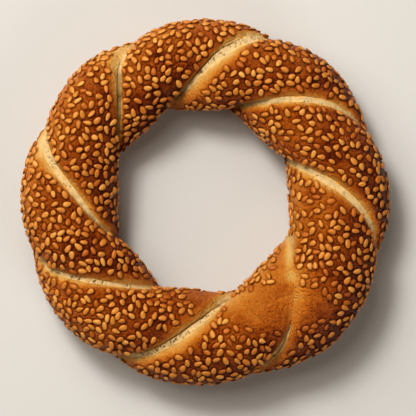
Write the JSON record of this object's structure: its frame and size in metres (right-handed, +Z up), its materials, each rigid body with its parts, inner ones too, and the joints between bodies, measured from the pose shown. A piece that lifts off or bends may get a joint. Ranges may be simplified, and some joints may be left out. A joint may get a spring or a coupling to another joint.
{
  "type": "simit bread ring",
  "caption": "Ring of bread twisted from strands of dough, with pale split seams, a brown crust and a coat of sesame seeds, resting flat on its base.",
  "frame": {"origin": "centre of the bounding box, on the plane that the ring rests on", "axes": "+Z up, along the axis of the ring; +X to the right and +Y away from the viewer's feet in the view from above"},
  "size_m": [0.1496, 0.1484, 0.0336],
  "materials": {
    "baked_crust": "brown baked bread crust with a thin glaze, sesame seeds and pale split seams"
  },
  "bodies": {
    "root": {"simit_ring": "baked_crust"}
  },
  "joints": []
}
